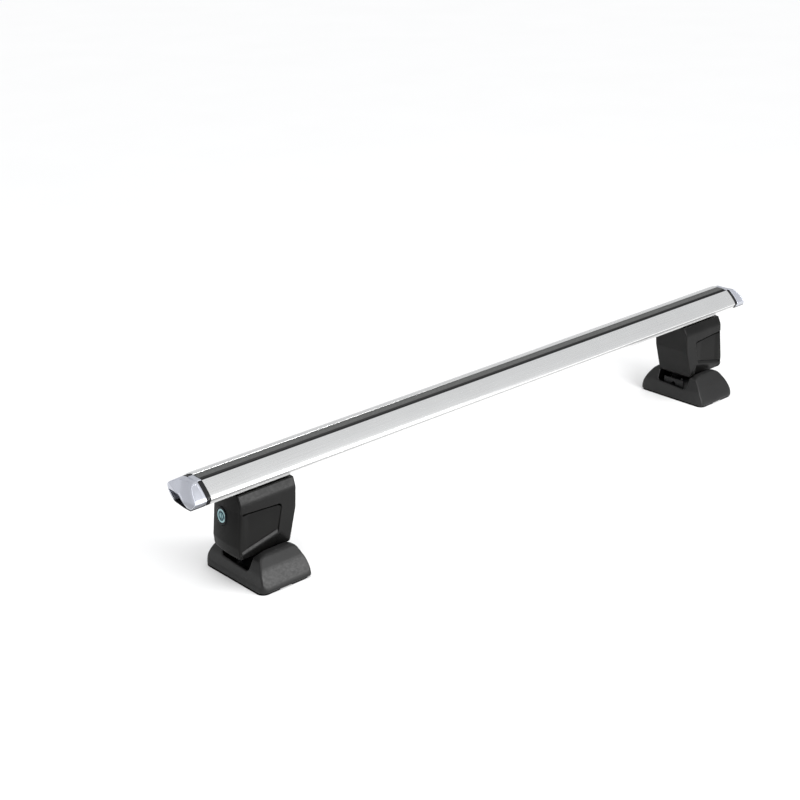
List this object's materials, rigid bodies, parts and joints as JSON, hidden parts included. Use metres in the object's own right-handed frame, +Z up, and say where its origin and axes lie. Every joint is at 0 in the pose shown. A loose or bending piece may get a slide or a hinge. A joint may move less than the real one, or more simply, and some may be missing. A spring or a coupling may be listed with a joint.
{
  "type": "roof rack crossbar",
  "caption": "Aluminium wing crossbar for a car roof, with a rubber-filled slot on top, end caps, and two lockable tower feet on wide rubber-soled bases.",
  "frame": {"origin": "bottom centre: on the roof surface, midway between the two feet", "axes": "+X along the bar, +Y across it (towards the back of the picture), +Z up"},
  "size_m": [1.2648, 0.146, 0.1848],
  "materials": {
    "bar_aluminium": "satin anodised, fine lines along the bar",
    "infill_rubber": "matt, ribbed along the bar",
    "insert_plastic": "matt",
    "cap_plastic": "silver paint, semi-gloss",
    "tower_plastic": "finely grained",
    "cover_plastic": "finely grained",
    "base_plastic": "finely grained",
    "ring_plastic": "semi-gloss",
    "lock_face": "semi-gloss",
    "steel": "zinc plated",
    "pad_rubber": "matt"
  },
  "bodies": {
    "bar": {"bar_front_wing": "bar_aluminium", "bar_rear_wing": "bar_aluminium", "bar_web": "bar_aluminium", "bar_upper_lips": "bar_aluminium", "bar_lower_lips": "bar_aluminium", "top_infill": "infill_rubber", "end_insert_left": "insert_plastic", "end_insert_right": "insert_plastic", "end_cap_left": "cap_plastic", "end_cap_right": "cap_plastic"},
    "left_foot": {"left_housing": "tower_plastic", "left_saddle_pad": "pad_rubber", "left_clamp_plate": "steel", "left_clamp_bolt": "steel", "left_clamp_washer": "steel", "left_support_bracket": "steel", "left_cross_bolt": "steel", "left_cross_nut": "steel", "left_base_shell": "base_plastic", "left_base_plate": "steel", "left_base_pad": "pad_rubber", "left_base_screws": "steel"},
    "left_cover": {"left_lock_cover": "cover_plastic", "left_lock_ring": "ring_plastic"},
    "left_lock": {"left_lock_barrel": "lock_face", "left_lock_cam": "steel"},
    "right_foot": {"right_housing": "tower_plastic", "right_saddle_pad": "pad_rubber", "right_clamp_plate": "steel", "right_clamp_bolt": "steel", "right_clamp_washer": "steel", "right_support_bracket": "steel", "right_cross_bolt": "steel", "right_cross_nut": "steel", "right_base_shell": "base_plastic", "right_base_plate": "steel", "right_base_pad": "pad_rubber", "right_base_screws": "steel"},
    "right_cover": {"right_lock_cover": "cover_plastic", "right_lock_ring": "ring_plastic"},
    "right_lock": {"right_lock_barrel": "lock_face", "right_lock_cam": "steel"}
  },
  "joints": [
    {"name": "left_foot_slide", "type": "slide", "parent": "bar", "child": "left_foot", "axis": [-1, 0, 0], "range_m": [-0.25, 0.03]},
    {"name": "left_cover_slide", "type": "slide", "parent": "left_foot", "child": "left_cover", "axis": [-1, 0, 0], "range_m": [0, 0.09]},
    {"name": "left_lock_turn", "type": "hinge", "parent": "left_cover", "child": "left_lock", "pos_m": [-0.55703, 0.008, 0.105], "axis": [-0.992, 0.0612, 0.1104], "range_deg": [0, 90]},
    {"name": "right_foot_slide", "type": "slide", "parent": "bar", "child": "right_foot", "axis": [1, 0, 0], "range_m": [-0.25, 0.03]},
    {"name": "right_cover_slide", "type": "slide", "parent": "right_foot", "child": "right_cover", "axis": [1, 0, 0], "range_m": [0, 0.09]},
    {"name": "right_lock_turn", "type": "hinge", "parent": "right_cover", "child": "right_lock", "pos_m": [0.55703, 0.008, 0.105], "axis": [-0.992, -0.0612, -0.1104], "range_deg": [0, 90]}
  ]
}
